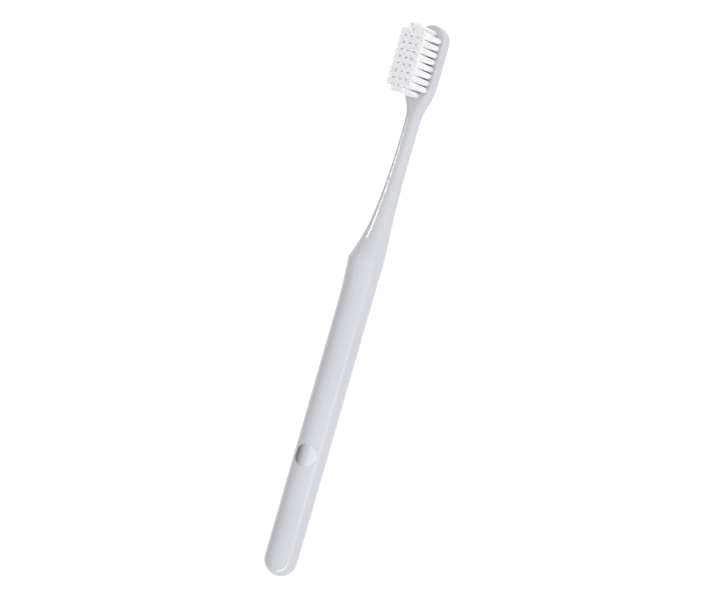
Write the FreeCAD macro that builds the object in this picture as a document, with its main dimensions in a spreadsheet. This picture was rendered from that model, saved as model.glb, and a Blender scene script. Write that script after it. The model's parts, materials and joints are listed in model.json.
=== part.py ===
import FreeCAD, Part
import math
import os
from types import SimpleNamespace
import Sketcher
from FreeCAD import Placement, Rotation, Vector

# A manual toothbrush that lies on its back with its bristles up.
# X runs along the brush from the butt to the head, Y across it, and Z up from the straight back.
# While a piece is drawn, X is measured from the butt. Its Placement then puts mid-length at X = 0.

# The sizes in millimetres, degrees or shares, each with what it measures.
SIZES = {
    "overall_length": (182.0, "butt to the tip of the head"),
    "shank_diameter": (10.7, "round grip"),
    "swell_length": (14.0, "start of the swell to the thumb ridge"),
    "ridge_flare": (0.4, "ridge wider than the grip"),
    "ridge_rise": (1.2, "ridge above the front of the grip"),
    "scoop_length": (40.0, "ridge to the slim neck"),
    "neck_width": (5.0, "across the slim neck"),
    "neck_thickness": (4.2, "back to front of the slim neck"),
    "neck_length": (5.5, "stretch of even neck"),
    "shoulder_length": (14.5, "neck to the full width of the head"),
    "shoulder_past_row": (3.0, "nearest full row of tufts to the full width of the head"),
    "head_margin": (0.98, "outer tuft holes to the side of the head"),
    "head_thickness": (5.35, "back of the head to the face that holds the tufts"),
    "head_back_radius": (2.65, "rounding between the back and the sides of the head"),
    "head_rim_radius": (0.6, "rounding between the face and the sides of the head"),
    "crown_height": (0.12, "moulded head above its face, before the face is cut flat"),
    "round_share": (0.99, "corner radius of a rounded section, as a share of the most that fits"),
    "row_pitch": (2.3, "tuft to tuft along the brush"),
    "column_pitch": (2.28, "tuft to tuft across the brush"),
    "end_pitch": (2.15, "outer full row to the pair of tufts beyond it"),
    "tip_to_row": (4.9, "tip of the head to the nearest full row"),
    "hole_diameter": (1.7, "tuft hole"),
    "hole_depth": (3.0, "tuft hole below the face"),
    "tuft_length": (11.7, "bristles above the face"),
    "tuft_gap": (0.05, "least gap between neighbouring tufts where they are trimmed"),
    "tuft_tip_chamfer": (0.2, "eased edge of the trimmed end"),
    "fold_height": (0.45, "folded filaments under the anchor plate"),
    "anchor_bite": (0.15, "anchor plate into the wall on either side of its hole"),
    "anchor_thickness": (0.25, "anchor plate"),
    "anchor_height": (1.3, "anchor plate"),
    "anchor_turn": (45.0, "degrees between the anchor plates and the length of the brush"),
    "badge_diameter": (7.2, "silver disc on the grip"),
    "badge_thickness": (0.1, "silver disc"),
    "badge_from_butt": (39.5, "butt to the middle of the disc"),
    "badge_turn": (10.0, "degrees round the grip from the bristle side to the disc"),
    "overrun": (1.0, "how far a cutter runs past what it cuts"),
}

# Half a turn, in degrees.
HALF_TURN = 180

# The full rows of tufts, the tufts in each, and the tufts of the shorter row at either end.
ROW_COUNT = 8
COLUMN_COUNT = 4
PAIR_COUNT = 2

# Swell of the grip up to the ridge: share of the swell's length, share of its growth.
SWELL_SHARES = (
    (0.0, 0.0),
    (0.3, 0.11),
    (0.55, 0.34),
    (0.8, 0.68),
    (1.0, 1.0),
)

# Scoop from the ridge to the neck: share of its length, of the drop in front, of the narrowing.
SCOOP_SHARES = (
    (0.0, 0.0, 0.0),
    (0.07, 0.2, 0.11),
    (0.17, 0.46, 0.32),
    (0.3, 0.665, 0.58),
    (0.45, 0.79, 0.77),
    (0.62, 0.89, 0.9),
    (0.8, 0.95, 0.98),
    (1.0, 1.0, 1.0),
)

# Shoulder from the neck to the head: share of its length, of the rise in front, of the widening,
# and of the change from the round front of the neck to the tight rim of the face. This last share
# is below zero where the front is rounder still than the neck. The last two lie on the straight head.
SHOULDER_SHARES = (
    (0.0, 0.0, 0.0, 0.0),
    (0.15, 0.02, 0.02, -0.01),
    (0.3, 0.12, 0.135, -0.05),
    (0.4, 0.28, 0.3, -0.09),
    (0.5, 0.53, 0.505, -0.11),
    (0.6, 0.81, 0.725, 0.06),
    (0.7, 0.96, 0.875, 0.42),
    (0.8, 1.0, 0.95, 0.73),
    (0.9, 1.0, 0.985, 0.92),
    (1.0, 1.0, 1.0, 1.0),
    (1.1, 1.0, 1.0, 1.0),
    (1.2, 1.0, 1.0, 1.0),
)


class Size:
    """A number to draw with, and the formula that binds it to the sheet."""

    def __init__(self, value, text):
        self.value = value
        self.text = text

    def __add__(self, other):
        other = as_size(other)
        return Size(self.value + other.value, f"({self.text} + {other.text})")

    def __sub__(self, other):
        other = as_size(other)
        return Size(self.value - other.value, f"({self.text} - {other.text})")

    def __mul__(self, other):
        other = as_size(other)
        return Size(self.value * other.value, f"({self.text} * {other.text})")

    def __truediv__(self, other):
        other = as_size(other)
        return Size(self.value / other.value, f"({self.text} / {other.text})")

    def __neg__(self):
        return Size(-self.value, f"(-{self.text})")


def as_size(thing):
    return thing if isinstance(thing, Size) else Size(thing, repr(thing))


def smaller(first, second):
    return Size(min(first.value, second.value), f"min({first.text}; {second.text})")


def blend(start, end, share):
    return start + (end - start) * share


def fitting_radius(wanted, room):
    """A rounding that leaves a little flat where it would fill its room."""
    return smaller(wanted, room * size.round_share)


doc = FreeCAD.newDocument("toothbrush")
sheet = doc.addObject("Spreadsheet::Sheet", "sizes")
size = SimpleNamespace()
for row, (name, (value, meaning)) in enumerate(SIZES.items(), start=1):
    sheet.set(f"A{row}", meaning)
    sheet.set(f"B{row}", str(value))
    sheet.setAlias(f"B{row}", name)
    setattr(size, name, Size(value, f"{sheet.Name}.{name}"))
doc.recompute()

# Where the tufts stand, from the tip back. The end pairs follow the middle lines of the full rows.
ORIGIN = as_size(0)
last_row = size.overall_length - size.tip_to_row
first_row = last_row - size.row_pitch * (ROW_COUNT - 1)
neck_pair = first_row - size.end_pitch
tip_pair = last_row + size.end_pitch
row_side = -size.column_pitch * (COLUMN_COUNT - 1) / 2
pair_side = -size.column_pitch * (PAIR_COUNT - 1) / 2
GRIDS = (
    ("rows", first_row, row_side, ROW_COUNT, size.row_pitch, COLUMN_COUNT),
    ("pairs", neck_pair, pair_side, PAIR_COUNT, tip_pair - neck_pair, PAIR_COUNT),
)

# Places along the brush, on from the tufts back to the butt. The grip takes the length that is left.
head_half = size.head_margin + size.hole_diameter / 2 - row_side
tip_centre = size.overall_length - head_half
head_start = first_row + size.shoulder_past_row
neck_end = head_start - size.shoulder_length
neck_start = neck_end - size.neck_length
ridge_place = neck_start - size.scoop_length
grip_length = ridge_place - size.swell_length

# Half widths, levels above the back and roundings.
shank_radius = size.shank_diameter / 2
ridge_half = shank_radius + size.ridge_flare / 2
ridge_level = size.shank_diameter + size.ridge_rise
neck_half = size.neck_width / 2
crown_level = size.head_thickness + size.crown_height
hole_floor = size.head_thickness - size.hole_depth
neck_radius = fitting_radius(neck_half, size.neck_thickness / 2)
head_back_radius = fitting_radius(size.head_back_radius, crown_level / 2)

# The anchor plates and the trimmed ends of the tufts.
anchor_length = size.hole_diameter + size.anchor_bite * 2
closest_pitch = smaller(smaller(size.row_pitch, size.column_pitch), size.end_pitch)
tuft_tip_radius = (closest_pitch - size.tuft_gap) / 2


def bind(thing, path, amount):
    thing.setExpression(path, amount.text)


def place(thing, along, across, level):
    """Bind where a finished piece stands, with mid-length of the brush at X = 0."""
    bind(thing, "Placement.Base.x", along - size.overall_length / 2)
    bind(thing, "Placement.Base.y", across)
    bind(thing, "Placement.Base.z", level)


def add_sketch(body, name, role, offset):
    """A sketch on one of the body's own planes, moved in the plane's own axes."""
    sketch = body.newObject("Sketcher::SketchObject", name)
    planes = [feature for feature in body.Origin.OriginFeatures if feature.Role == role]
    sketch.AttachmentSupport = (planes[0], [""])
    sketch.MapMode = "FlatFace"
    for axis, amount in zip("xyz", offset):
        bind(sketch, f"AttachmentOffset.Base.{axis}", amount)
    return sketch


def measure(sketch, name, amount, *constraint):
    """A named dimension of a sketch, bound to its formula."""
    index = sketch.addConstraint(Sketcher.Constraint(*constraint, amount.value))
    sketch.renameConstraint(index, name)
    bind(sketch, f"Constraints.{name}", amount)


def draw_line(sketch, start, end):
    return sketch.addGeometry(Part.LineSegment(Vector(*start), Vector(*end)))


def draw_arc(sketch, centre, radius, start_degrees):
    """A quarter of a circle, counterclockwise."""
    circle = Part.Circle(Vector(*centre), Vector(0, 0, 1), radius)
    start = math.radians(start_degrees)
    return sketch.addGeometry(Part.ArcOfCircle(circle, start, start + math.pi / 2))


def draw_polygon(sketch, corners):
    """A closed outline of straight lines through corners given as pairs of sizes."""
    points = [(along.value, up.value) for along, up in corners]
    for start, end in zip(points, points[1:] + points[:1]):
        draw_line(sketch, start, end)
    for index in range(len(corners)):
        following = (index + 1) % len(corners)
        sketch.addConstraint(Sketcher.Constraint("Coincident", index, 2, following, 1))
    for index, (along, up) in enumerate(corners):
        measure(sketch, f"along_{index}", along, "DistanceX", -1, 1, index, 1)
        measure(sketch, f"up_{index}", up, "DistanceY", -1, 1, index, 1)


def draw_rectangle(sketch, half_length, low, high):
    """A rectangle that is centred on the sketch's upright axis."""
    left = -half_length
    draw_polygon(sketch, ((left, low), (half_length, low), (half_length, high), (left, high)))


def draw_section(sketch, half_width, height, back_radius, front_radius):
    """A rectangle with round corners that stands on the sketch's level axis, centred."""
    side = half_width.value
    low = back_radius.value
    high = height.value - front_radius.value
    low_inner = side - back_radius.value
    high_inner = side - front_radius.value
    top = draw_line(sketch, (-high_inner, height.value), (high_inner, height.value))
    top_right = draw_arc(sketch, (high_inner, high), front_radius.value, 0)
    right = draw_line(sketch, (side, high), (side, low))
    low_right = draw_arc(sketch, (low_inner, low), back_radius.value, 270)
    bottom = draw_line(sketch, (low_inner, 0), (-low_inner, 0))
    low_left = draw_arc(sketch, (-low_inner, low), back_radius.value, 180)
    left = draw_line(sketch, (-side, low), (-side, high))
    top_left = draw_arc(sketch, (-high_inner, high), front_radius.value, 90)
    joins = (
        (top, 2, top_right, 2),
        (top_right, 1, right, 1),
        (right, 2, low_right, 2),
        (low_right, 1, bottom, 1),
        (bottom, 2, low_left, 2),
        (low_left, 1, left, 1),
        (left, 2, top_left, 2),
        (top_left, 1, top, 1),
    )
    for join in joins:
        sketch.addConstraint(Sketcher.Constraint("Tangent", *join))
    for level_line in (top, bottom):
        sketch.addConstraint(Sketcher.Constraint("Horizontal", level_line))
    for upright_line in (left, right):
        sketch.addConstraint(Sketcher.Constraint("Vertical", upright_line))
    sketch.addConstraint(Sketcher.Constraint("Equal", top_right, top_left))
    sketch.addConstraint(Sketcher.Constraint("Equal", low_right, low_left))
    sketch.addConstraint(Sketcher.Constraint("PointOnObject", bottom, 1, -1))
    measure(sketch, "front_radius", front_radius, "Radius", top_right)
    measure(sketch, "back_radius", back_radius, "Radius", low_right)
    measure(sketch, "height", height, "DistanceY", -1, 1, top, 1)
    measure(sketch, "right_half", half_width, "DistanceX", -1, 1, right, 1)
    measure(sketch, "left_half", half_width, "DistanceX", left, 1, -1, 1)


def draw_half_section(sketch, half_width, height, back_radius, front_radius):
    """Half of such a section, closed along the sketch's upright axis."""
    outside = half_width.value
    low = back_radius.value
    high = height.value - front_radius.value
    low_inner = outside - back_radius.value
    high_inner = outside - front_radius.value
    axis = draw_line(sketch, (0, 0), (0, height.value))
    top = draw_line(sketch, (0, height.value), (high_inner, height.value))
    top_corner = draw_arc(sketch, (high_inner, high), front_radius.value, 0)
    side = draw_line(sketch, (outside, high), (outside, low))
    low_corner = draw_arc(sketch, (low_inner, low), back_radius.value, 270)
    bottom = draw_line(sketch, (low_inner, 0), (0, 0))
    sketch.addConstraint(Sketcher.Constraint("Coincident", axis, 1, -1, 1))
    sketch.addConstraint(Sketcher.Constraint("Coincident", axis, 2, top, 1))
    sketch.addConstraint(Sketcher.Constraint("Coincident", bottom, 2, axis, 1))
    joins = (
        (top, 2, top_corner, 2),
        (top_corner, 1, side, 1),
        (side, 2, low_corner, 2),
        (low_corner, 1, bottom, 1),
    )
    for join in joins:
        sketch.addConstraint(Sketcher.Constraint("Tangent", *join))
    for level_line in (top, bottom):
        sketch.addConstraint(Sketcher.Constraint("Horizontal", level_line))
    for upright_line in (axis, side):
        sketch.addConstraint(Sketcher.Constraint("Vertical", upright_line))
    measure(sketch, "front_radius", front_radius, "Radius", top_corner)
    measure(sketch, "back_radius", back_radius, "Radius", low_corner)
    measure(sketch, "height", height, "DistanceY", -1, 1, top, 1)
    measure(sketch, "half_width", half_width, "DistanceX", -1, 1, side, 1)


def draw_circle(sketch, radius):
    circle = sketch.addGeometry(Part.Circle(Vector(), Vector(0, 0, 1), radius.value))
    sketch.addConstraint(Sketcher.Constraint("Coincident", circle, 3, -1, 1))
    measure(sketch, "radius", radius, "Radius", circle)


def add_section(body, name, along, half_width, height, back_radius, front_radius):
    """A cross-section of the moulding at a place along the brush."""
    sketch = add_sketch(body, name, "YZ_Plane", (ORIGIN, ORIGIN, along))
    draw_section(sketch, half_width, height, back_radius, front_radius)
    return sketch


def add_round_section(body, name, along, half_width, height):
    """A cross-section that is as round as its width and height let it be."""
    radius = smaller(half_width, height / 2) * size.round_share
    return add_section(body, name, along, half_width, height, radius, radius)


def add_loft(body, name, sections):
    loft = body.newObject("PartDesign::AdditiveLoft", name)
    loft.Profile = sections[0]
    loft.Sections = sections[1:]
    return loft


def add_pocket(body, name, sketch, depth):
    pocket = body.newObject("PartDesign::Pocket", name)
    pocket.Profile = sketch
    bind(pocket, "Length", depth)
    return pocket


def turn_to_anchor(thing, path):
    """Turn a sketch or a body about its upright axis to lie as the anchor plates do."""
    setattr(thing, path, Placement(Vector(), Rotation(Vector(0, 0, 1), size.anchor_turn.value)))
    bind(thing, f"{path}.Rotation.Angle", size.anchor_turn)


def draw_anchor(sketch):
    """The outline of an anchor plate seen from above."""
    half_thickness = size.anchor_thickness / 2
    draw_rectangle(sketch, anchor_length / 2, -half_thickness, half_thickness)


def repeat(body, name, originals, row_count, row_pitch, column_count, column_pitch):
    """Repeat features in rows along the brush and columns across it."""
    axes = {feature.Role: feature for feature in body.Origin.OriginFeatures}
    pattern = body.newObject("PartDesign::LinearPattern", name)
    pattern.Originals = originals
    pattern.Direction = (axes["X_Axis"], [""])
    pattern.Occurrences = row_count
    bind(pattern, "Length", row_pitch * (row_count - 1))
    pattern.Direction2 = (axes["Y_Axis"], [""])
    pattern.Occurrences2 = column_count
    bind(pattern, "Length2", column_pitch * (column_count - 1))
    body.Tip = pattern
    return pattern


# The moulding: a round grip with a domed butt.
moulding = doc.addObject("PartDesign::Body", "moulding")
grip_sketch = add_sketch(moulding, "grip_profile", "XZ_Plane", (ORIGIN, shank_radius, ORIGIN))
grip_end = grip_length.value
dome = draw_arc(grip_sketch, (shank_radius.value, 0), shank_radius.value, 90)
wall = draw_line(grip_sketch, (shank_radius.value, shank_radius.value), (grip_end, shank_radius.value))
end = draw_line(grip_sketch, (grip_end, shank_radius.value), (grip_end, 0))
axis = draw_line(grip_sketch, (grip_end, 0), (0, 0))
grip_sketch.addConstraint(Sketcher.Constraint("Tangent", dome, 1, wall, 1))
grip_sketch.addConstraint(Sketcher.Constraint("Coincident", wall, 2, end, 1))
grip_sketch.addConstraint(Sketcher.Constraint("Coincident", end, 2, axis, 1))
grip_sketch.addConstraint(Sketcher.Constraint("Coincident", axis, 2, dome, 2))
grip_sketch.addConstraint(Sketcher.Constraint("Coincident", axis, 2, -1, 1))
grip_sketch.addConstraint(Sketcher.Constraint("PointOnObject", dome, 3, -1))
grip_sketch.addConstraint(Sketcher.Constraint("Horizontal", wall))
grip_sketch.addConstraint(Sketcher.Constraint("Horizontal", axis))
grip_sketch.addConstraint(Sketcher.Constraint("Vertical", end))
measure(grip_sketch, "radius", shank_radius, "Radius", dome)
measure(grip_sketch, "length", grip_length, "DistanceX", -1, 1, end, 2)
grip = moulding.newObject("PartDesign::Revolution", "grip")
grip.Profile = grip_sketch
grip.ReferenceAxis = (grip_sketch, ["H_Axis"])

# The grip swells to a ridge that stops the thumb.
swell_sections = []
for index, (length_share, growth_share) in enumerate(SWELL_SHARES):
    along = grip_length + size.swell_length * length_share
    half_width = blend(shank_radius, ridge_half, growth_share)
    height = blend(size.shank_diameter, ridge_level, growth_share)
    swell_sections.append(add_round_section(moulding, f"swell_section_{index}", along, half_width, height))
add_loft(moulding, "swell", swell_sections)

# Past the ridge the front drops in a scoop to the slim neck, then the neck opens into the head.
neck_sections = []
for index, (length_share, drop_share, narrowing_share) in enumerate(SCOOP_SHARES):
    along = ridge_place + size.scoop_length * length_share
    half_width = blend(ridge_half, neck_half, narrowing_share)
    height = blend(ridge_level, size.neck_thickness, drop_share)
    neck_sections.append(add_round_section(moulding, f"scoop_section_{index}", along, half_width, height))
for index, (length_share, rise_share, widening_share, rim_share) in enumerate(SHOULDER_SHARES):
    along = neck_end + size.shoulder_length * length_share
    half_width = blend(neck_half, head_half, widening_share)
    height = blend(size.neck_thickness, crown_level, rise_share)
    back_radius = fitting_radius(blend(neck_radius, head_back_radius, widening_share), height / 2)
    front_radius = fitting_radius(blend(neck_radius, size.head_rim_radius, rim_share), height - back_radius)
    name = f"shoulder_section_{index}"
    section = add_section(moulding, name, along, half_width, height, back_radius, front_radius)
    neck_sections.append(section)
add_loft(moulding, "neck_and_shoulder", neck_sections)

# The head runs on at full width and ends in a half round tip.
head_outline = (head_half, crown_level, head_back_radius, size.head_rim_radius)
straight_start = neck_end + size.shoulder_length * SHOULDER_SHARES[-1][0]
straight_sketch = add_section(moulding, "straight_section", straight_start, *head_outline)
straight = moulding.newObject("PartDesign::Pad", "straight_head")
straight.Profile = straight_sketch
bind(straight, "Length", tip_centre - straight_start)
tip_sketch = add_sketch(moulding, "tip_section", "YZ_Plane", (ORIGIN, ORIGIN, tip_centre))
draw_half_section(tip_sketch, *head_outline)
tip = moulding.newObject("PartDesign::Revolution", "tip")
tip.Profile = tip_sketch
tip.ReferenceAxis = (tip_sketch, ["V_Axis"])
tip.Angle = HALF_TURN
tip.Reversed = True

# The front of the head is cut flat for the tufts. The neck rises to meet this face.
face_end = size.overall_length + size.overrun
face_top = crown_level + size.overrun
face_sketch = add_sketch(moulding, "face_profile", "XZ_Plane", (ORIGIN, ORIGIN, ORIGIN))
face_corners = (
    (neck_end, size.head_thickness),
    (face_end, size.head_thickness),
    (face_end, face_top),
    (neck_end, face_top),
)
draw_polygon(face_sketch, face_corners)
face = add_pocket(moulding, "face", face_sketch, (head_half + size.overrun) * 2)
face.SideType = "Symmetric"

# Each tuft hole has a slit on either side, cut by its anchor plate on the way in.
slit_depth = size.hole_depth - size.fold_height
for name, along, across, row_count, row_pitch, column_count in GRIDS:
    spot = (along, across, size.head_thickness)
    hole_sketch = add_sketch(moulding, f"hole_circle_{name}", "XY_Plane", spot)
    draw_circle(hole_sketch, size.hole_diameter / 2)
    hole = add_pocket(moulding, f"hole_{name}", hole_sketch, size.hole_depth)
    slit_sketch = add_sketch(moulding, f"slit_outline_{name}", "XY_Plane", spot)
    turn_to_anchor(slit_sketch, "AttachmentOffset")
    draw_anchor(slit_sketch)
    slit = add_pocket(moulding, f"slit_{name}", slit_sketch, slit_depth)
    repeat(moulding, f"holes_{name}", [hole, slit], row_count, row_pitch, column_count, size.column_pitch)
place(moulding, ORIGIN, ORIGIN, ORIGIN)


def add_rod(name, radius, height, rotation):
    rod = doc.addObject("Part::Cylinder", name)
    rod.Placement = Placement(Vector(), rotation)
    bind(rod, "Radius", radius)
    bind(rod, "Height", height)
    return rod


def combine(kind, name, base, tool):
    result = doc.addObject(f"Part::{kind}", name)
    result.Base = base
    result.Tool = tool
    return result


# The silver disc lies in a shallow seat and follows the round of the grip.
lengthwise = Rotation(Vector(0, 1, 0), HALF_TURN / 2)
shell_start = size.badge_from_butt - size.badge_diameter / 2 - size.overrun
shell_length = size.badge_diameter + size.overrun * 2
shell_outside = add_rod("shell_outside", shank_radius, shell_length, lengthwise)
shell_inside = add_rod("shell_inside", shank_radius - size.badge_thickness, shell_length, lengthwise)
for rod in (shell_outside, shell_inside):
    place(rod, shell_start, ORIGIN, shank_radius)
badge_shell = combine("Cut", "badge_shell", shell_outside, shell_inside)
towards_side = Rotation(Vector(1, 0, 0), size.badge_turn.value)
badge_post = add_rod("badge_post", size.badge_diameter / 2, size.shank_diameter, towards_side)
bind(badge_post, "Placement.Rotation.Angle", size.badge_turn)
place(badge_post, size.badge_from_butt, ORIGIN, shank_radius)
badge_disc = combine("Common", "badge_disc", badge_shell, badge_post)
handle_body = combine("Cut", "handle_body", moulding, badge_disc)

# A small metal plate pins each tuft. It lies across the hole and bites into the slits.
anchor_plates = doc.addObject("PartDesign::Body", "anchor_plates")
anchor_plates.AllowCompound = True
anchor_floor = hole_floor + size.fold_height
for name, along, across, row_count, row_pitch, column_count in GRIDS:
    spot = (along, across, anchor_floor)
    plate_sketch = add_sketch(anchor_plates, f"plate_outline_{name}", "XY_Plane", spot)
    turn_to_anchor(plate_sketch, "AttachmentOffset")
    draw_anchor(plate_sketch)
    plate = anchor_plates.newObject("PartDesign::Pad", f"plate_{name}")
    plate.Profile = plate_sketch
    bind(plate, "Length", size.anchor_height)
    repeat(anchor_plates, f"plates_{name}", [plate], row_count, row_pitch, column_count, size.column_pitch)
place(anchor_plates, ORIGIN, ORIGIN, ORIGIN)

# A tuft fills its hole, folds under its plate and spreads a little up to the trimmed end.
tuft_top = size.hole_depth + size.tuft_length
slot_top = size.fold_height + size.anchor_height
TUFT_CORNERS = (
    (ORIGIN, ORIGIN),
    (size.hole_diameter / 2, ORIGIN),
    (size.hole_diameter / 2, size.hole_depth),
    (tuft_tip_radius, tuft_top - size.tuft_tip_chamfer),
    (tuft_tip_radius - size.tuft_tip_chamfer, tuft_top),
    (ORIGIN, tuft_top),
)


def add_tuft(name, along, across):
    tuft = doc.addObject("PartDesign::Body", name)
    profile = add_sketch(tuft, f"{name}_profile", "XZ_Plane", (ORIGIN, ORIGIN, ORIGIN))
    draw_polygon(profile, TUFT_CORNERS)
    bundle = tuft.newObject("PartDesign::Revolution", f"{name}_bundle")
    bundle.Profile = profile
    bundle.ReferenceAxis = (profile, ["V_Axis"])
    slot_sketch = add_sketch(tuft, f"{name}_slot_outline", "YZ_Plane", (ORIGIN, ORIGIN, ORIGIN))
    draw_rectangle(slot_sketch, size.anchor_thickness / 2, size.fold_height, slot_top)
    slot = add_pocket(tuft, f"{name}_slot", slot_sketch, size.hole_diameter + size.overrun)
    slot.SideType = "Symmetric"
    turn_to_anchor(tuft, "Placement")
    place(tuft, along, across, hole_floor)
    return tuft


tufts = []
for column in range(PAIR_COUNT):
    across = pair_side + size.column_pitch * column
    tufts.append(add_tuft(f"tuft_neck_{column + 1}", neck_pair, across))
    tufts.append(add_tuft(f"tuft_tip_{column + 1}", tip_pair, across))
for row in range(ROW_COUNT):
    for column in range(COLUMN_COUNT):
        across = row_side + size.column_pitch * column
        tufts.append(add_tuft(f"tuft_row{row + 1}_{column + 1}", first_row + size.row_pitch * row, across))

doc.recompute()
for thing in doc.Objects:
    if "Invalid" in thing.State or "Error" in thing.State:
        raise RuntimeError(f"{thing.Name} did not build: {thing.State}")

os.makedirs("parts", exist_ok=True)
for piece in [handle_body, badge_disc, anchor_plates, *tufts]:
    shape = piece.Shape
    if shape.isNull() or not shape.isValid():
        raise RuntimeError(f"{piece.Label} has no valid shape")
    shape.exportStep(f"parts/{piece.Label}.step")
    print(piece.Label, len(shape.Solids), "solids", round(shape.Volume, 3), "mm3")
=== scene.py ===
# %% [markdown]
# # A manual toothbrush
# The brush lies on its straight back with its bristles up, as in the CAD frame: X runs from the butt
# of the grip to the head, Y across, Z up. The moulded handle, the silver disc and the anchor plates
# are right as the CAD has them and only need their finishes. Each tuft is replaced by a bundle of
# separate filaments, because a tuft that is one solid reads as a peg and not as bristles.

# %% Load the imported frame
import json
import math
import random

import bmesh
import bpy
from mathutils import Matrix, Vector

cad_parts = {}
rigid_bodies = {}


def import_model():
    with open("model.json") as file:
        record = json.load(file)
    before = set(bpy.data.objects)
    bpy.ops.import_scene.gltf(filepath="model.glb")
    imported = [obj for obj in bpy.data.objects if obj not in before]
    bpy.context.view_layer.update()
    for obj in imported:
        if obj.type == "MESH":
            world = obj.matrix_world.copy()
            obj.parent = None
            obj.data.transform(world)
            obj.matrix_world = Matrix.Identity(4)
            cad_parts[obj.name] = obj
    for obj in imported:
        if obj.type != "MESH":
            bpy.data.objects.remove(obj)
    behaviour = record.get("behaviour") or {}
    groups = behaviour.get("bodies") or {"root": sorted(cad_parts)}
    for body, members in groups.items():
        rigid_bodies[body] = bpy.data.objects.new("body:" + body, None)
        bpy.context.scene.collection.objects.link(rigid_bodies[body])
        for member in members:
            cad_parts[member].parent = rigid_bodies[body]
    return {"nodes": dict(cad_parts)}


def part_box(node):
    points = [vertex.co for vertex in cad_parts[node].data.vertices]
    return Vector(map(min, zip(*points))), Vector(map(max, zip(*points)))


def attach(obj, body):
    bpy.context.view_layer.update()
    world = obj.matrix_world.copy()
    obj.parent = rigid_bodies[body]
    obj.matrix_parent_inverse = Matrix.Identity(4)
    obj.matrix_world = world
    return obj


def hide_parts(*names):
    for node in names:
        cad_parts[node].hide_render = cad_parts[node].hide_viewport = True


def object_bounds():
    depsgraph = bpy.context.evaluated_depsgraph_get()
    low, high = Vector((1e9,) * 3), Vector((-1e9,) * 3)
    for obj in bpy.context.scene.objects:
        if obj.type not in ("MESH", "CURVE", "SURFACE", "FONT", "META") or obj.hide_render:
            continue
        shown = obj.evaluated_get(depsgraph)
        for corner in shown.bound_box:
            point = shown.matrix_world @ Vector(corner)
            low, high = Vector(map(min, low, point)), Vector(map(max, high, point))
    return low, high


for leftover in list(bpy.data.objects):
    bpy.data.objects.remove(leftover)
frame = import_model()
nodes = frame["nodes"]
cad_low, cad_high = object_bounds()
MM = 0.001
print("CAD nodes:", len(nodes), "box in mm:", [round(side / MM, 2) for side in cad_high - cad_low])

# %% [markdown]
# ## The camera
# The photograph looks square at the length of the brush from far away, between its bristles and its
# side, and the brush leans to the right in the picture. A camera could be aimed by hand or with a
# Track To constraint. Here its three axes are written out from two angles, so that the outlines fall
# on those of the photograph to about half a pixel. A long lens keeps parallel lines parallel.

# %% Place the camera
VIEW_TURN = math.radians(31.5)
PICTURE_LEAN = math.radians(16.06)
PICTURE_WIDTH = 225.6 * MM
LENS = 200.0
SENSOR = 36.0
GRIP_LEVEL = 5.35 * MM
AIM_ALONG = 0.08 * MM
AIM_ACROSS = -0.18 * MM

lengthwise = Vector((1, 0, 0))
to_camera = Vector((0, -math.sin(VIEW_TURN), math.cos(VIEW_TURN)))
crosswise = Vector((0, -math.cos(VIEW_TURN), -math.sin(VIEW_TURN)))
camera_right = lengthwise * math.sin(PICTURE_LEAN) + crosswise * math.cos(PICTURE_LEAN)
camera_up = lengthwise * math.cos(PICTURE_LEAN) - crosswise * math.sin(PICTURE_LEAN)
target = Vector((0, 0, GRIP_LEVEL)) + lengthwise * AIM_ALONG + crosswise * AIM_ACROSS
distance = PICTURE_WIDTH * LENS / SENSOR

camera_data = bpy.data.cameras.new("camera")
camera_data.lens = LENS
camera_data.sensor_width = SENSOR
camera = bpy.data.objects.new("camera", camera_data)
camera_axes = Matrix((camera_right, camera_up, to_camera)).transposed()
camera.matrix_world = Matrix.Translation(target + to_camera * distance) @ camera_axes.to_4x4()
bpy.context.scene.collection.objects.link(camera)
bpy.context.scene.camera = camera
print("camera distance in mm:", round(distance / MM))


# %% [markdown]
# ## Small helpers
# A material, like the world, is a graph of nodes, and most of the work on it is adding nodes, setting
# their sockets and joining them. A few short functions keep those lines readable. A Principled shader
# comes with each new material, so a finish starts from that one.

# %% Helpers for nodes
def add_node(owner, kind, **settings):
    """A new node in the graph of a material or world, with its own settings."""
    node = owner.node_tree.nodes.new(kind)
    for name, value in settings.items():
        setattr(node, name, value)
    return node


def set_inputs(node, **values):
    """Set sockets by name, with an underscore for each space in the name."""
    for name, value in values.items():
        node.inputs[name.replace("_", " ")].default_value = value


def join(owner, source, sink):
    """Link an output socket to an input socket."""
    owner.node_tree.links.new(source, sink)


def grey(level):
    """A neutral colour of one level."""
    return (level, level, level, 1.0)


def set_ramp(ramp_node, stops):
    """Give a colour ramp its stops, each a place from 0 to 1 and a colour."""
    elements = ramp_node.color_ramp.elements
    while len(elements) < len(stops):
        elements.new(1.0)
    for element, (place, colour) in zip(elements, stops):
        element.position = place
        element.color = colour


def new_finish(name):
    """A new material and the Principled shader that comes with it."""
    material = bpy.data.materials.new(name)
    material.use_nodes = True
    return material, material.node_tree.nodes["Principled BSDF"]


def give(node_name, material):
    """Dress a CAD node in a finish. Its mesh stays as it is."""
    mesh = nodes[node_name].data
    mesh.materials.clear()
    mesh.materials.append(material)
    print(node_name, "wears", material.name)


# %% [markdown]
# ## The studio light
# The grip is bright where it faces the right of the picture and dim where it faces the left, and the
# silver disc shows the same split, down to a dark band low on the left. Large soft boxes could do
# this. A world whose brightness runs smoothly across Y does the same, with no edges and little noise.
# The levels average a little under 1, so that a colour renders about as it is written. White bristles
# pass light from one to the next many times, so more bounces than usual are allowed.

# %% World
LIGHT_BOUNCES = 24
SIDE_LEVELS = ((0.0, 1.32), (0.3, 1.28), (0.5, 1.0), (0.72, 0.82), (0.84, 0.5), (0.95, 0.22))

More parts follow.
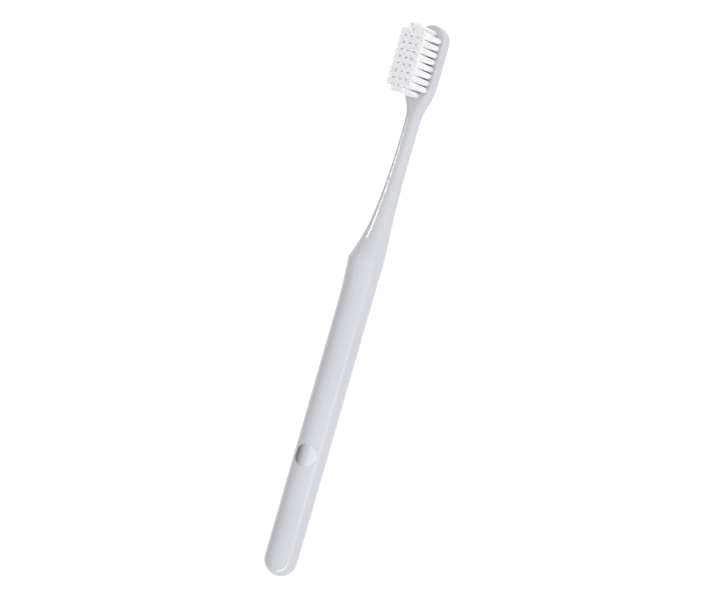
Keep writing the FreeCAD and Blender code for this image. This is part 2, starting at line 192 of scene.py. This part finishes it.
scene = bpy.context.scene
scene.view_settings.view_transform = "Standard"
scene.cycles.max_bounces = LIGHT_BOUNCES
scene.cycles.diffuse_bounces = LIGHT_BOUNCES
world = bpy.data.worlds.new("studio")
world.use_nodes = True
scene.world = world
background = world.node_tree.nodes["Background"]
direction = add_node(world, "ShaderNodeTexCoord")
split = add_node(world, "ShaderNodeSeparateXYZ")
across = add_node(world, "ShaderNodeMapRange")
set_inputs(across, From_Min=-1.0, From_Max=1.0)
fade = add_node(world, "ShaderNodeValToRGB")
fade.color_ramp.interpolation = "EASE"
set_ramp(fade, [(place, grey(level)) for place, level in SIDE_LEVELS])
join(world, direction.outputs["Generated"], split.inputs["Vector"])
join(world, split.outputs["Y"], across.inputs["Value"])
join(world, across.outputs["Result"], fade.inputs["Fac"])
join(world, fade.outputs["Color"], background.inputs["Color"])
set_inputs(background, Strength=1.0)
print("world levels from bright side to dim side:", [level for place, level in SIDE_LEVELS])


# %% [markdown]
# ## Strip lights
# Three thin highlights tell that the plastic is glossy: a line along the grip, a line beside the far
# edge of the neck and a short arc round the butt. Each is the mirror image of a narrow lamp. The lamps
# are placed where the reflected view meets them, and are hidden from diffuse rays, so that they draw
# their lines and add no other light.

# %% Strip lights that only gloss can see
# Each strip: place and aim in metres, width, height, and the brightness of its face.
STRIPS = {
    "grip_strip": ((-0.16, -0.40, 0.03), (-0.16, 0.0, 0.005), 0.34, 0.06, 2.1),
    "neck_strip": ((0.18, 0.37, 0.265), (0.05, 0.0, 0.005), 0.24, 0.08, 11.5),
    "butt_strip": ((-0.40, -0.16, 0.016), (-0.09, 0.0, 0.005), 0.55, 0.032, 13.0),
}
for name, (place, aim, width, height, brightness) in STRIPS.items():
    lamp = bpy.data.lights.new(name, "AREA")
    lamp.shape = "RECTANGLE"
    lamp.size = width
    lamp.size_y = height
    lamp.energy = brightness * math.pi * width * height
    strip = bpy.data.objects.new(name, lamp)
    backwards = (Vector(place) - Vector(aim)).normalized()
    facing = backwards.to_track_quat("Z", "Y").to_matrix().to_4x4()
    strip.matrix_world = Matrix.Translation(place) @ facing
    strip.visible_diffuse = False
    strip.visible_camera = False
    scene.collection.objects.link(strip)
print("strip lights:", len(STRIPS))

# %% [markdown]
# ## The floor
# The photograph has a plain white ground with hardly a shadow. A matt pale floor would come out grey,
# so for the rays that look at it, directly or in a reflection, part of its white is a glow. The rest
# is still lit by the studio, so the brush keeps its soft shadow. To other rays it is plain paper.

# %% Floor
FLOOR_HALF = 12.0
FLOOR_DROP = 0.05 * MM
PAPER_LEVEL = 0.9
SHOWN_LEVEL = 0.4
GLOW_STRENGTH = 0.75

floor_shape = bmesh.new()
bmesh.ops.create_grid(floor_shape, x_segments=1, y_segments=1, size=FLOOR_HALF)
bmesh.ops.translate(floor_shape, verts=floor_shape.verts, vec=(0, 0, -FLOOR_DROP))
floor_mesh = bpy.data.meshes.new("floor")
floor_shape.to_mesh(floor_mesh)
floor_shape.free()
floor = bpy.data.objects.new("floor", floor_mesh)
scene.collection.objects.link(floor)

paper = bpy.data.materials.new("floor_paper")
paper.use_nodes = True
paper.node_tree.nodes.clear()
light_path = add_node(paper, "ShaderNodeLightPath")
seen = add_node(paper, "ShaderNodeMath", operation="MAXIMUM")
seen_or_through = add_node(paper, "ShaderNodeMath", operation="MAXIMUM")
plain = add_node(paper, "ShaderNodeBsdfDiffuse")
shown = add_node(paper, "ShaderNodeBsdfDiffuse")
glow = add_node(paper, "ShaderNodeEmission")
shown_and_glow = add_node(paper, "ShaderNodeAddShader")
choose = add_node(paper, "ShaderNodeMixShader")
output = add_node(paper, "ShaderNodeOutputMaterial")
set_inputs(plain, Color=grey(PAPER_LEVEL))
set_inputs(shown, Color=grey(SHOWN_LEVEL))
set_inputs(glow, Color=grey(1.0), Strength=GLOW_STRENGTH)
join(paper, light_path.outputs["Is Camera Ray"], seen.inputs[0])
join(paper, light_path.outputs["Is Glossy Ray"], seen.inputs[1])
join(paper, seen.outputs[0], seen_or_through.inputs[0])
join(paper, light_path.outputs["Is Transmission Ray"], seen_or_through.inputs[1])
join(paper, shown.outputs[0], shown_and_glow.inputs[0])
join(paper, glow.outputs[0], shown_and_glow.inputs[1])
join(paper, seen_or_through.outputs[0], choose.inputs["Fac"])
join(paper, plain.outputs[0], choose.inputs[1])
join(paper, shown_and_glow.outputs[0], choose.inputs[2])
join(paper, choose.outputs[0], output.inputs["Surface"])
floor_mesh.materials.append(paper)
print("floor half width in m:", FLOOR_HALF)

# %% [markdown]
# ## The moulded handle
# The handle is one glossy moulding in pale grey plastic with a touch of blue. Its shape is the CAD's,
# so it only gets a finish. A single colour would look like paint on a screen, so three things vary a
# little, all on the object's own coordinates: the pigment drifts by a few per cent, the gloss is a
# little uneven, and a faint bump gives the orange peel of a moulded skin.

# %% Handle plastic
PLASTIC_IOR = 1.5
PLASTIC_DARK = (0.57, 0.58, 0.618, 1.0)
PLASTIC_LIGHT = (0.59, 0.60, 0.638, 1.0)
PIGMENT_SCALE = 60.0
PIGMENT_DETAIL = 2.0
NOISE_LOW = 0.3
NOISE_HIGH = 0.7
PEEL_SCALE = 900.0
PEEL_DETAIL = 1.0
PEEL_DEPTH = 0.2 * MM
PEEL_STRENGTH = 0.03
PLASTIC_GLOSS = 0.12
PLASTIC_DULLEST = 0.16

plastic, plastic_shader = new_finish("handle_plastic")
set_inputs(plastic_shader, IOR=PLASTIC_IOR)
where = add_node(plastic, "ShaderNodeTexCoord")
pigment = add_node(plastic, "ShaderNodeTexNoise")
set_inputs(pigment, Scale=PIGMENT_SCALE, Detail=PIGMENT_DETAIL)
tint = add_node(plastic, "ShaderNodeValToRGB")
set_ramp(tint, [(NOISE_LOW, PLASTIC_DARK), (NOISE_HIGH, PLASTIC_LIGHT)])
gloss = add_node(plastic, "ShaderNodeMapRange")
set_inputs(gloss, From_Min=NOISE_LOW, From_Max=NOISE_HIGH, To_Min=PLASTIC_GLOSS, To_Max=PLASTIC_DULLEST)
peel = add_node(plastic, "ShaderNodeTexNoise")
set_inputs(peel, Scale=PEEL_SCALE, Detail=PEEL_DETAIL)
bump = add_node(plastic, "ShaderNodeBump")
set_inputs(bump, Strength=PEEL_STRENGTH, Distance=PEEL_DEPTH)
join(plastic, where.outputs["Object"], pigment.inputs["Vector"])
join(plastic, where.outputs["Object"], peel.inputs["Vector"])
join(plastic, pigment.outputs["Fac"], tint.inputs["Fac"])
join(plastic, pigment.outputs["Fac"], gloss.inputs["Value"])
join(plastic, tint.outputs["Color"], plastic_shader.inputs["Base Color"])
join(plastic, gloss.outputs["Result"], plastic_shader.inputs["Roughness"])
join(plastic, peel.outputs["Fac"], bump.inputs["Height"])
join(plastic, bump.outputs["Normal"], plastic_shader.inputs["Normal"])
give("handle_body", plastic)

# %% [markdown]
# ## The silver disc
# A thin round of stamped foil lies flush in the grip and follows its curve. It could be painted on as
# a patch of the handle's material, but it is a piece of its own in the CAD, so it simply gets a metal
# finish. Noise that is stretched along the grip gives it the fine straight grain of stamped foil, in
# its colour and in its gloss.

# %% Silver foil
FOIL_DARK = (0.57, 0.575, 0.615, 1.0)
FOIL_LIGHT = (0.665, 0.675, 0.715, 1.0)
GRAIN_SCALES = (200.0, 6000.0, 6000.0)
GRAIN_DETAIL = 2.0
FOIL_GLOSS = 0.18
FOIL_DULLEST = 0.34

foil, foil_shader = new_finish("silver_foil")
set_inputs(foil_shader, Metallic=1.0)
where = add_node(foil, "ShaderNodeTexCoord")
stretch = add_node(foil, "ShaderNodeMapping")
set_inputs(stretch, Scale=GRAIN_SCALES)
grain = add_node(foil, "ShaderNodeTexNoise")
set_inputs(grain, Scale=1.0, Detail=GRAIN_DETAIL)
shine = add_node(foil, "ShaderNodeValToRGB")
set_ramp(shine, [(0.0, FOIL_DARK), (1.0, FOIL_LIGHT)])
polish = add_node(foil, "ShaderNodeMapRange")
set_inputs(polish, To_Min=FOIL_GLOSS, To_Max=FOIL_DULLEST)
join(foil, where.outputs["Object"], stretch.inputs["Vector"])
join(foil, stretch.outputs["Vector"], grain.inputs["Vector"])
join(foil, grain.outputs["Fac"], shine.inputs["Fac"])
join(foil, grain.outputs["Fac"], polish.inputs["Value"])
join(foil, shine.outputs["Color"], foil_shader.inputs["Base Color"])
join(foil, polish.outputs["Result"], foil_shader.inputs["Roughness"])
give("badge_disc", foil)

# %% [markdown]
# ## The anchor plates
# At the bottom of each hole a small metal plate holds the folded tuft down. The plates are hidden once
# the brush is made, so the CAD's own plates are enough, in a dull brass with a little tarnish.

# %% Anchor metal
BRASS_DARK = (0.70, 0.62, 0.44, 1.0)
BRASS_LIGHT = (0.80, 0.74, 0.58, 1.0)
BRASS_ROUGHNESS = 0.35
TARNISH_SCALE = 3000.0

brass, brass_shader = new_finish("anchor_metal")
set_inputs(brass_shader, Metallic=1.0, Roughness=BRASS_ROUGHNESS)
where = add_node(brass, "ShaderNodeTexCoord")
drawn = add_node(brass, "ShaderNodeTexNoise")
set_inputs(drawn, Scale=TARNISH_SCALE)
tarnish = add_node(brass, "ShaderNodeValToRGB")
set_ramp(tarnish, [(0.0, BRASS_DARK), (1.0, BRASS_LIGHT)])
join(brass, where.outputs["Object"], drawn.inputs["Vector"])
join(brass, drawn.outputs["Fac"], tarnish.inputs["Fac"])
join(brass, tarnish.outputs["Color"], brass_shader.inputs["Base Color"])
give("anchor_plates", brass)

# %% [markdown]
# ## The bristle nylon
# The bristles are white nylon. Glass-like transmission or subsurface light would be nearer to the
# truth of one filament, but in a bundle both come out darker and noisier than what the eye sees. A
# very pale matt white, with the light bouncing between the filaments, gives the bright soft body and
# the dark gaps of the photograph. Noise makes some filaments a trace duller than others.

# %% Nylon
NYLON_DULL = (0.976, 0.979, 0.988, 1.0)
NYLON_WHITE = (0.987, 0.989, 0.994, 1.0)
NYLON_SCALE = 700.0
NYLON_DETAIL = 1.0
NYLON_ROUGHNESS = 0.4
NYLON_IOR = 1.53
NYLON_SPECULAR = 0.1

nylon, nylon_shader = new_finish("bristle_nylon")
set_inputs(nylon_shader, Roughness=NYLON_ROUGHNESS, IOR=NYLON_IOR, Specular_IOR_Level=NYLON_SPECULAR)
where = add_node(nylon, "ShaderNodeTexCoord")
cloud = add_node(nylon, "ShaderNodeTexNoise")
set_inputs(cloud, Scale=NYLON_SCALE, Detail=NYLON_DETAIL)
white = add_node(nylon, "ShaderNodeValToRGB")
set_ramp(white, [(0.0, NYLON_DULL), (1.0, NYLON_WHITE)])
join(nylon, where.outputs["Object"], cloud.inputs["Vector"])
join(nylon, cloud.outputs["Fac"], white.inputs["Fac"])
join(nylon, white.outputs["Color"], nylon_shader.inputs["Base Color"])
print("nylon from", NYLON_DULL[:3], "to", NYLON_WHITE[:3])

# %% [markdown]
# ## One filament
# A filament is a thin nylon thread, under 0.2 mm across, with a rounded end. A curve with a bevel
# would make one, but over three thousand are needed, so the mesh must be small. It starts as a six-sided
# disc whose face is extruded ring by ring with a very slight bow, and ends in a narrower ring for the
# rounded tip. The faces are smooth, so six sides look round. The face level is that of the head, and
# the root stands a little below it, inside the hole.

# %% One filament
FILAMENT_RADIUS = 0.096 * MM
FILAMENT_SIDES = 6
FACE_LEVEL = 5.35 * MM
ROOT_DEPTH = 0.8 * MM
ROOT_LEVEL = FACE_LEVEL - ROOT_DEPTH
FILAMENT_LENGTH = cad_high.z - ROOT_LEVEL
BOW = 0.06 * MM
TIP_HEIGHT_SHARE = 0.6
TIP_WIDTH_SHARE = 0.65
RING_SHARES = (0.25, 0.5, 0.75, 1.0)


def grow(shape, top, step, narrowing):
    """Extrude the top face of a filament by a step and scale it about its middle."""
    top = bmesh.ops.extrude_discrete_faces(shape, faces=[top])["faces"][0]
    bmesh.ops.translate(shape, verts=top.verts, vec=step)
    middle = Matrix.Translation(-top.calc_center_median())
    bmesh.ops.scale(shape, verts=top.verts, vec=(narrowing, narrowing, 1.0), space=middle)
    return top


filament_shape = bmesh.new()
bmesh.ops.create_circle(filament_shape, cap_ends=True, segments=FILAMENT_SIDES, radius=FILAMENT_RADIUS)
filament_shape.faces.ensure_lookup_table()
top = filament_shape.faces[0]
tip_height = FILAMENT_RADIUS * TIP_HEIGHT_SHARE
stem = FILAMENT_LENGTH - tip_height
bend = 0.0
level = 0.0
# The bow is a parabola, with no bend at the root and the tip and the whole of it at half height.
for share in RING_SHARES:
    next_bend = 4 * BOW * share * (1 - share)
    top = grow(filament_shape, top, (next_bend - bend, 0.0, stem * share - level), 1.0)
    bend = next_bend
    level = stem * share
top = grow(filament_shape, top, (0.0, 0.0, tip_height), TIP_WIDTH_SHARE)
for face in filament_shape.faces:
    face.smooth = True
open_edges = [edge for edge in filament_shape.edges if edge.is_boundary]
root_cap = bmesh.ops.holes_fill(filament_shape, edges=open_edges, sides=FILAMENT_SIDES)
root_cap["faces"][0].smooth = False
bmesh.ops.recalc_face_normals(filament_shape, faces=filament_shape.faces)
filament = bpy.data.meshes.new("filament")
filament_shape.to_mesh(filament)
filament_shape.free()
print("faces in a filament:", len(filament.polygons), "length in mm:", round(FILAMENT_LENGTH / MM, 2))

# %% [markdown]
# ## Where the filaments of a tuft stand
# In its hole a tuft is packed tight and round. Further up the filaments part, slowly at first, until
# the tips of one tuft touch those of the next. That leaves the narrow dark gaps between the tufts near
# the head, and small dark specks on top where four tufts meet. Rings of filaments pack a round hole
# well: each ring has a place at the root and a wider one at the tip.

# %% Spots in one tuft
RING_SIZES = (1, 6, 12, 18, 24, 30)
ROOT_PITCH = 0.15 * MM
TIP_PITCH = 0.228 * MM
SQUARING = 0.2

spots = []
for ring, count in enumerate(RING_SIZES):
    for index in range(count):
        angle = 2 * math.pi * index / count
        outward = Vector((math.cos(angle), math.sin(angle)))
        corner = 1 / max(abs(outward.x), abs(outward.y)) - 1
        root = outward * ROOT_PITCH * ring
        tip = outward * TIP_PITCH * ring * (1 + SQUARING * corner)
        spots.append((root, tip))
print("filaments in a tuft:", len(spots))

# %% [markdown]
# ## The bundles
# Each bundle takes the place of one CAD tuft. Hair particles or instances would be light too, but a
# plain mesh exports everywhere. Every filament is a copy of the one above, turned by chance, parted
# from its neighbours along a curve, and never longer than the trimmed length. The chance is seeded, so
# the brush is the same each time.

# %% Bundles
TIP_STRAY = 0.06 * MM
SHORT_SHARE = 0.006
SPREAD_POWER = 1.7
CHANCE_SEED = 7


def make_bundle(name, middle, chance):
    """All filaments of one tuft in one mesh, round the middle of its hole."""
    shape = bmesh.new()
    for root, tip in spots:
        stray = Vector((chance.gauss(0, TIP_STRAY), chance.gauss(0, TIP_STRAY)))
        spread = tip + stray - root
        shorten = 1 - abs(chance.gauss(0, SHORT_SHARE))
        turn = Matrix.Rotation(chance.uniform(0, 2 * math.pi), 4, "Z")
        stand = Matrix.Translation((middle.x + root.x, middle.y + root.y, ROOT_LEVEL))
        trim = Matrix.Diagonal((1, 1, shorten, 1))
        before = len(shape.verts)
        shape.from_mesh(filament)
        shape.verts.ensure_lookup_table()
        added = shape.verts[before:]
        bmesh.ops.transform(shape, matrix=turn, space=Matrix.Identity(4), verts=added)
        for vert in added:
            vert.co.xy += spread * (vert.co.z / FILAMENT_LENGTH) ** SPREAD_POWER
        bmesh.ops.transform(shape, matrix=stand @ trim, space=Matrix.Identity(4), verts=added)
    mesh = bpy.data.meshes.new(name)
    shape.to_mesh(mesh)
    shape.free()
    mesh.materials.append(nylon)
    bundle = bpy.data.objects.new(name, mesh)
    scene.collection.objects.link(bundle)
    return bundle


chance = random.Random(CHANCE_SEED)
tuft_names = sorted(name for name in nodes if name.startswith("tuft_"))
for tuft_name in tuft_names:
    low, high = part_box(tuft_name)
    bundle = make_bundle(tuft_name.replace("tuft_", "bristles_"), (low + high) / 2, chance)
    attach(bundle, "root")
    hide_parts(tuft_name)
bpy.data.meshes.remove(filament)
print("bundles:", len(tuft_names), "filaments:", len(tuft_names) * len(spots))
